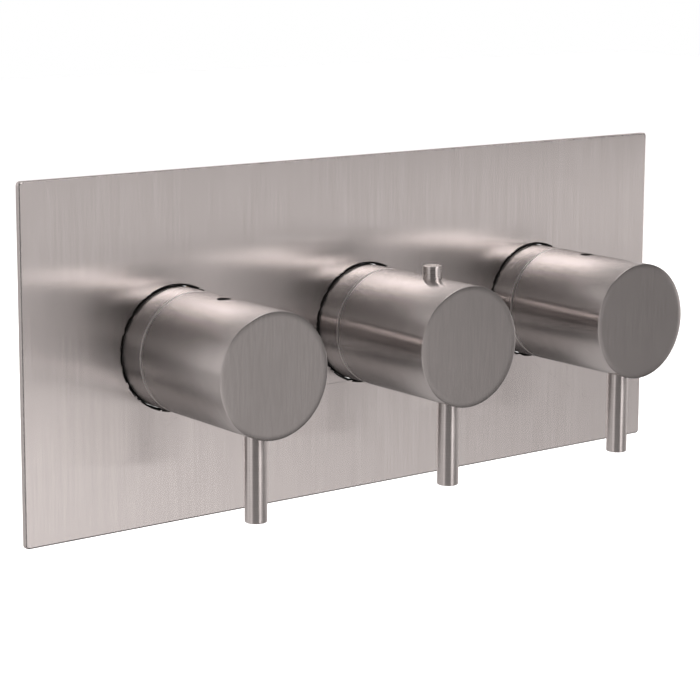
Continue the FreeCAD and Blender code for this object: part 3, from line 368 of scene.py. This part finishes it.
# ---- knobs ----
# Solid stainless barrels, turned all over, with a crisp edge round a flat face. A tapped hole under
# each takes the lever. The flow knobs have a grub-screw hole on top, the temperature knob a button.
KNOB_EDGE_R = 0.0004
KNOB_FACE_EDGE_R, FACE_EDGE_STEPS = 0.00015, 4
FACE_RINGS = (0.9, 0.6, 0.3, 0)
FACE_FACING = 0.99
FACE_ROUGHNESS = 0.2
KNOB_BORE = {"left": 0.0121, "temperature": 0.0155, "right": 0.0121}
BORE_DEPTH = {"left": 0.0333, "temperature": 0.0321, "right": 0.0333}
LEVER_SEAT_R, LEVER_FROM_FACE, LEVER_HOLE_TOP = 0.0041, 0.0115, -0.013
GRUB_HOLE_R, GRUB_FROM_FACE = 0.0026, 0.0305
BUTTON_HOLE_R, BUTTON_FROM_FACE = 0.00356, 0.0215
DRILL_STEPS = 48
DRILL_REACH = 0.03


def satin_face_shaded():
    """Faces turned and then rubbed up and down on fine paper, with a colour darker than the steel's
    as painted shade.
    """
    material = bpy.data.materials.new("satin_face_shaded")
    shader = Shader(material)
    fine = shader.noise(scale=2500, detail=3, roughness=0.6, stretch=(1, 1, 0.05), turn=(0, 0.3, 0))
    cloud = shader.noise(scale=45, detail=2, roughness=0.5)
    # Painted shade: the face's tints are darker than the sides' steel.
    colour = mottled(STEEL, fine, cloud, tints=(0.83, 0.91), clouded=0.8, share=0.3,
                     cloud_span=(0.35, 0.7))
    shader.surface(Base_Color=colour, Metallic=1.0,
                   Roughness=fine * 0.03 + cloud * 0.05 + FACE_ROUGHNESS,
                   Normal=shader.bump(fine, strength=0.1, distance=FINE_RELIEF))
    return material


def drill(tools, x, y, low, high, radius):
    """Adds the tool for a round hole, upright through (x, y), to the mesh of tools."""
    middle = Matrix.Translation((x, y, (low + high) / 2))
    bmesh.ops.create_cone(tools, cap_ends=True, segments=DRILL_STEPS, radius1=radius,
                          radius2=radius, depth=high - low, matrix=middle)


def cut_holes(piece, tools):
    """Takes the tools' mesh away from a piece, for good."""
    mesh = bpy.data.meshes.new("tools")
    tools.to_mesh(mesh)
    tools.free()
    cutter = bpy.data.objects.new("tools", mesh)
    bpy.context.scene.collection.objects.link(cutter)
    modifier = piece.modifiers.new("holes", "BOOLEAN")
    modifier.operation, modifier.solver, modifier.object = "DIFFERENCE", "EXACT", cutter
    shape = piece.evaluated_get(bpy.context.evaluated_depsgraph_get())
    cut = bpy.data.meshes.new_from_object(shape)
    piece.modifiers.clear()
    old, piece.data = piece.data, cut
    cut.name = old.name
    bpy.data.meshes.remove(old)
    bpy.data.objects.remove(cutter)
    bpy.data.meshes.remove(mesh)
    cut.set_sharp_from_angle(angle=SHARP)


def knob(side, x, node, body, holes):
    low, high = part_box(node)
    face, back, outer = low.y, high.y, (high.z - low.z) / 2
    bore, floor = KNOB_BORE[side], back - BORE_DEPTH[side]
    e, rim = KNOB_EDGE_R, KNOB_FACE_EDGE_R
    outline = [(floor, 0), (floor, bore), (back, bore)]
    outline += arc((back - e, outer - e), e, 0, 90, ROUND_STEPS)
    outline += arc((face + rim, outer - rim), rim, 90, 180, FACE_EDGE_STEPS)
    outline += [(face, outer * share) for share in FACE_RINGS]
    bm = spun((x, 0, 0), ALONG_Y, outline, KNOB_STEPS)
    piece = finish_piece(bm, side + "_knob", body, "brushed_steel", TURNED, node)
    tools = bmesh.new()
    for y, first, last, radius in holes:
        drill(tools, x, y, first, last, radius)
    cut_holes(piece, tools)
    spread_along_axis(piece, x)

    def at_back_edge(polygon):
        out = math.hypot(polygon.center.x - x, polygon.center.z)
        return on_edge(polygon.normal.y) and out > outer - e

    second_finish(piece, FACE_STEEL_SHADED, lambda polygon: polygon.normal.y < -FACE_FACING)
    # Painted highlight: the knob's broken back edge is lighter than its steel.
    second_finish(piece, FILED_EDGE_HIGHLIGHT, at_back_edge)


FACE_STEEL_SHADED = satin_face_shaded()
FACE_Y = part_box("left_flow_knob")[0].y
LEVER_Y = FACE_Y + LEVER_FROM_FACE
lever_hole = (LEVER_Y, -DRILL_REACH, LEVER_HOLE_TOP, LEVER_SEAT_R)
grub_hole = (FACE_Y + GRUB_FROM_FACE, 0.0, DRILL_REACH, GRUB_HOLE_R)
button_hole = (FACE_Y + BUTTON_FROM_FACE, 0.0, DRILL_REACH, BUTTON_HOLE_R)
knob("left", -PITCH, "left_flow_knob", "left_flow", (lever_hole, grub_hole))
knob("temperature", 0.0, "temperature_knob", "temperature", (lever_hole, button_hole))
knob("right", PITCH, "right_flow_knob", "right_flow", (lever_hole, grub_hole))


# ---- levers ----
# Stainless rod, 8 mm across, turned and fine ground, with the end faced off and its edge broken.
# Each screws up into its knob until its shoulder is in the round seat.
ROD_STEPS = 64
ROD_EDGE_R, ROD_EDGE_STEPS = 0.00035, 4
ROD_ROUGHNESS, ROD_SCRATCHES, ROD_SPREAD, QUARTER_TURN = 0.35, 0.06, 0.8, 0.25
END_RING = 0.6


def ground_rod_painted_light(name, roughness):
    """Rod with its fine grain round it, so that reflections spread up and down, and a colour
    lighter than the steel's as painted light.
    """
    material = bpy.data.materials.new(name)
    shader = Shader(material)
    fine = shader.noise(scale=6000, detail=3, roughness=0.6, stretch=(0.02, 0.02, 1))
    cloud = shader.noise(scale=120, detail=2, roughness=0.5)
    # Painted light: the rod's tints are far lighter than the knobs' steel.
    colour = mottled(STEEL, fine, cloud, tints=(1.28, 1.4), clouded=1.25, share=0.2)
    shader.surface(Base_Color=colour, Metallic=1.0, Roughness=fine * ROD_SCRATCHES + roughness,
                   Anisotropic=ROD_SPREAD, Anisotropic_Rotation=QUARTER_TURN,
                   Normal=shader.bump(fine, strength=0.15, distance=FINE_RELIEF))
    return material


def lever(side, x, body):
    low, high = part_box(side + "_lever")
    radius, e = (high.x - low.x) / 2, ROD_EDGE_R
    outline = [(low.z, 0), (low.z, radius * END_RING)]
    outline += arc((low.z + e, radius - e), e, 180, 90, ROD_EDGE_STEPS)
    outline += [(high.z, radius), (high.z, 0)]
    bm = spun((x, LEVER_Y, 0), ALONG_Z, outline, ROD_STEPS)
    finish_piece(bm, side + "_rod", body, "brushed_steel", GROUND_PAINTED_LIGHT, side + "_lever")


GROUND_PAINTED_LIGHT = ground_rod_painted_light("ground_rod_painted_light", ROD_ROUGHNESS)
for side, x in PLACES:
    lever(side, x, "temperature" if side == "temperature" else side + "_flow")


# ---- override button ----
# A 7 mm stainless pin that stands up out of the temperature knob, faced off on top. It is pushed
# down against its spring to turn the knob past 38 degrees.
PIN_EDGE_R = 0.0003
PIN_ROUGHNESS = 0.25
PIN_SHOULDER = 0.0212
STEM_R, TAIL_R = 0.0016, 0.0012


def override_pin():
    low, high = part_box("override_button")
    radius, e, y = (high.x - low.x) / 2, PIN_EDGE_R, (low.y + high.y) / 2
    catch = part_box("override_catch")[1].z
    outline = [(high.z, 0), (high.z, radius * END_RING)]
    outline += arc((high.z - e, radius - e), e, 0, 90, ROD_EDGE_STEPS)
    outline += [(PIN_SHOULDER, radius), (PIN_SHOULDER, STEM_R)]
    outline += [(catch, STEM_R), (catch, TAIL_R), (low.z, TAIL_R), (low.z, 0)]
    bm = spun((0, y, 0), ALONG_Z, outline, ROD_STEPS)
    # Painted light: the pin takes the rod's lighter colour.
    material = ground_rod_painted_light("pin_steel_painted_light", PIN_ROUGHNESS)
    finish_piece(bm, "override_pin", "override", "brushed_steel", material, "override_button")


override_pin()


# ---- everything behind the plate ----
# The sand-cast brass body, whose outside edges the sand leaves soft, and in it turned brass,
# moulded plastic, rubber, ceramic and spring wire. The last keep the shapes of their nodes.
BODY_EDGE, BODY_EDGE_STEPS = 0.0007, 2
BODY_SHARP = math.radians(35)
SAME_PLANE = math.radians(0.5)
SPECKLE_ROUGHNESS = 0.12


def plain_finish(name, colour, metallic, roughness, scale, relief, speckle=0.1):
    material = bpy.data.materials.new(name)
    shader = Shader(material)
    fine = shader.noise(scale=scale, detail=4, roughness=0.6)
    cloud = shader.noise(scale=scale / 12, detail=2, roughness=0.5)
    base = mottled(colour, fine, cloud, tints=(1 - speckle, 1 + speckle), clouded=0.85, share=0.3)
    shader.surface(Base_Color=base, Metallic=metallic,
                   Roughness=fine * SPECKLE_ROUGHNESS + (roughness - SPECKLE_ROUGHNESS / 2),
                   Normal=shader.bump(fine, strength=0.3, distance=relief))
    return material


# Each has a name, a colour, how metallic and how rough it is, the scale of its speckle, its relief
# in metres, and how much lighter and darker the speckle is where that isn't a tenth.
FINISHES = {
    "cast_brass": plain_finish("sand_cast_brass", (0.62, 0.48, 0.27), 1.0, 0.45, 1400, 0.00008),
    "turned_brass": plain_finish("lathe_brass", (0.70, 0.55, 0.30), 1.0, 0.3, 2200, 0.000002),
    "foam": plain_finish("closed_cell_foam", (0.035, 0.035, 0.037), 0.0, 0.9, 1800, 0.0001),
    "seal_rubber": plain_finish("nitrile_rubber", (0.02, 0.02, 0.021), 0.0, 0.5, 900, 0.00001),
    "disc_ceramic": plain_finish("lapped_ceramic", (0.80, 0.79, 0.76), 0.0, 0.18, 700, 0.000002,
                                 speckle=0.02),
    "spring_steel": plain_finish("spring_wire", (0.50, 0.50, 0.50), 1.0, 0.25, 3000, 0.000005),
    "black_steel": plain_finish("blackened_steel", (0.03, 0.03, 0.032), 0.6, 0.4, 1500, 0.00001),
    "moulded_plastic": plain_finish("acetal", (0.74, 0.73, 0.70), 0.0, 0.45, 800, 0.00001,
                                    speckle=0.03),
}


def cast_body(node):
    """A copy of the body's node with its long outside edges rounded."""
    bm = bmesh.new()
    bm.from_mesh(frame["nodes"][node].data)
    bmesh.ops.remove_doubles(bm, verts=bm.verts[:], dist=1e-6)
    bmesh.ops.dissolve_limit(bm, angle_limit=SAME_PLANE, verts=bm.verts[:], edges=bm.edges[:])
    long_edges = [e for e in bm.edges if e.is_manifold and e.is_convex
                  and e.calc_length() > 2 * BODY_EDGE and e.calc_face_angle(0) > BODY_SHARP]
    round_edges(bm, long_edges, BODY_EDGE, BODY_EDGE_STEPS)
    finish_piece(bm, "cast_body", "valve", "cast_brass", FINISHES["cast_brass"], node)


cast_body("valve_body")
NODE_SLOT = {part["node"]: part["material_slot"] for part in frame["record"]["subparts"]}
for node, thing in frame["nodes"].items():
    if NODE_SLOT[node] in FINISHES:
        thing.data.materials.clear()
        thing.data.materials.append(FINISHES[NODE_SLOT[node]])


# ---- floor, light and camera ----
# A pale floor well below the valve, and a dark studio with a soft box, a lit table and some pale
# walls, which only the steel shows. Two soft lamps light all that isn't bare metal. A long lens
# looks from the left and a little from above.
FLOOR_Z, FLOOR_HALF = -0.40, 6
FLOOR_SHADE, FLOOR_GLOW = 0.8, 0.6
DARK_ROOM = 0.06
CEILING, CEILING_RISE = 0.5, (40, 80)
BEHIND, BACK_LIGHT, BACK_RISE, BACK_TOP = (90, 110), (0.55, 0.25), (-5, 5), (35, 60)
STUDIO_TINT, WHITE = (1.0, 0.945, 0.93), (1.0, 1.0, 1.0)
# Each card has an azimuth from and to, counted from the front towards the right, an elevation from
# and to, the softness of its edge, all in degrees, and how bright it is.
CARDS = (
    ((9, 32), (27, 44), 4, 7.8),        # the soft box and its dimmer side
    ((32, 45), (27, 44), 4, 2.6),
    ((20, 50), (8, 27), 3, 1.5),        # the walls under it and in front
    ((-3, 18), (-5, 7), 1.5, 1.5),
    ((-3, 17), (-12.8, -5), 2, 1.35),   # the lit table, from its far edge to its near one
    ((-3, 20), (-20, -12.8), 2, 2.3),
    ((-3, 20), (-32, -20), 3, 1.0),
    ((17, 44), (-12.8, -5), 2, 0.46),   # the floor beside the table
    ((20, 44), (-19, -12.8), 2, 0.6),
    ((52, 100), (-9, -5), 2, 1.8),      # a pale bench at the right
    ((52, 100), (-17, -9), 2, 0.7),
    ((-95, -70), (-30, 25), 5, 0.9),    # a pale wall at the left, a grey one, and the floor there
    ((-62, -18), (4, 28), 4, 0.2),
    ((-95, -5), (-70, -34), 5, 0.5),
)
LAMP_SIZE, LAMP_POWER = 1.2, 28
CAMERA_PLACE = (-0.51247, -0.66317, 0.15475)
CAMERA_YAW, CAMERA_PITCH, CAMERA_ROLL = 0.6530, -0.1640, 0.0037
CAMERA_LENS, SENSOR, SHIFT_Y = 113.04, 36.0, -0.1
CLIP_START, CLIP_END = 0.01, 50


def studio_floor():
    bm = bmesh.new()
    bmesh.ops.create_grid(bm, x_segments=1, y_segments=1, size=FLOOR_HALF,
                          matrix=Matrix.Translation((0, 0, FLOOR_Z)))
    mesh = bpy.data.meshes.new("floor")
    bm.to_mesh(mesh)
    bm.free()
    floor = bpy.data.objects.new("floor", mesh)
    bpy.context.scene.collection.objects.link(floor)
    material = bpy.data.materials.new("pale_floor")
    shader = Shader(material)
    seen = shader.add("ShaderNodeLightPath", output="Is Camera Ray")
    shader.surface(Base_Color=tint(WHITE, FLOOR_SHADE), Roughness=0.9, Specular_IOR_Level=0.0,
                   Emission_Color=shader.mix(seen, tint(WHITE, 0), tint(WHITE, FLOOR_GLOW)),
                   Emission_Strength=1.0)
    mesh.materials.append(material)
    floor.visible_glossy = False


def card(azimuth, elevation, sides, ends, edge):
    """1 inside a card, 0 outside it, with soft edges."""
    (left, right), (low, high) = sides, ends
    across = azimuth.between(left - edge, left + edge) * (
        1 - azimuth.between(right - edge, right + edge))
    upright = elevation.between(low - edge, low + edge) * (
        1 - elevation.between(high - edge, high + edge))
    return across * upright


def studio_world():
    """White behind the valve for the camera, and a studio's lit and dark parts in the steel."""
    world = bpy.data.worlds.new("studio")
    bpy.context.scene.world = world
    shader = Shader(world)
    direction = shader.add("ShaderNodeTexCoord", output="Generated")
    x, y, z = (shader.add("ShaderNodeSeparateXYZ", {}, [direction], output=o) for o in "XYZ")
    azimuth = x.maths("ARCTAN2", y * -1.0) * math.degrees(1)
    elevation = z.maths("ARCSINE") * math.degrees(1)
    behind = azimuth.maths("ABSOLUTE").between(*BEHIND)
    low, rise = BACK_LIGHT
    light = DARK_ROOM + elevation.between(*CEILING_RISE) * CEILING
    light = light + behind * (elevation.between(*BACK_RISE) * rise + low) * (
        1 - elevation.between(*BACK_TOP))
    for sides, ends, edge, brightness in CARDS:
        light = light + card(azimuth, elevation, sides, ends, edge) * brightness
    seen = shader.add("ShaderNodeLightPath", output="Is Camera Ray")
    strength = seen + (1 - seen) * light
    colour = shader.mix(seen, tint(STUDIO_TINT), tint(WHITE))
    glow = shader.add("ShaderNodeBackground", {}, {"Color": colour, "Strength": strength})
    shader.add("ShaderNodeOutputWorld", {}, [glow])


def lamp(name, place):
    """A soft lamp on all that isn't bare metal, whose light comes from the world's cards."""
    data = bpy.data.lights.new(name, "AREA")
    data.energy, data.size = LAMP_POWER, LAMP_SIZE
    thing = bpy.data.objects.new(name, data)
    bpy.context.scene.collection.objects.link(thing)
    thing.visible_camera = thing.visible_glossy = False
    aim = Vector(place).to_track_quat("Z", "Y").to_matrix().to_4x4()
    thing.matrix_world = Matrix.Translation(place) @ aim


def camera():
    data = bpy.data.cameras.new("camera")
    data.lens, data.sensor_width, data.shift_y = CAMERA_LENS, SENSOR, SHIFT_Y
    data.clip_start, data.clip_end = CLIP_START, CLIP_END
    thing = bpy.data.objects.new("camera", data)
    bpy.context.scene.collection.objects.link(thing)
    cp, sp = math.cos(CAMERA_PITCH), math.sin(CAMERA_PITCH)
    forward = Vector((math.sin(CAMERA_YAW) * cp, math.cos(CAMERA_YAW) * cp, sp))
    right = Vector((math.cos(CAMERA_YAW), -math.sin(CAMERA_YAW), 0))
    up = right.cross(forward)
    cr, sr = math.cos(CAMERA_ROLL), math.sin(CAMERA_ROLL)
    right, up = cr * right + sr * up, cr * up - sr * right
    turn = Matrix((right, up, -forward)).transposed().to_4x4()
    thing.matrix_world = Matrix.Translation(CAMERA_PLACE) @ turn
    bpy.context.scene.camera = thing


studio_floor()
studio_world()
lamp("front_lamp", (-1.3, -1.7, 1.5))
lamp("back_lamp", (1.3, 1.8, 1.4))
camera()
bpy.context.scene.view_settings.view_transform = "Standard"
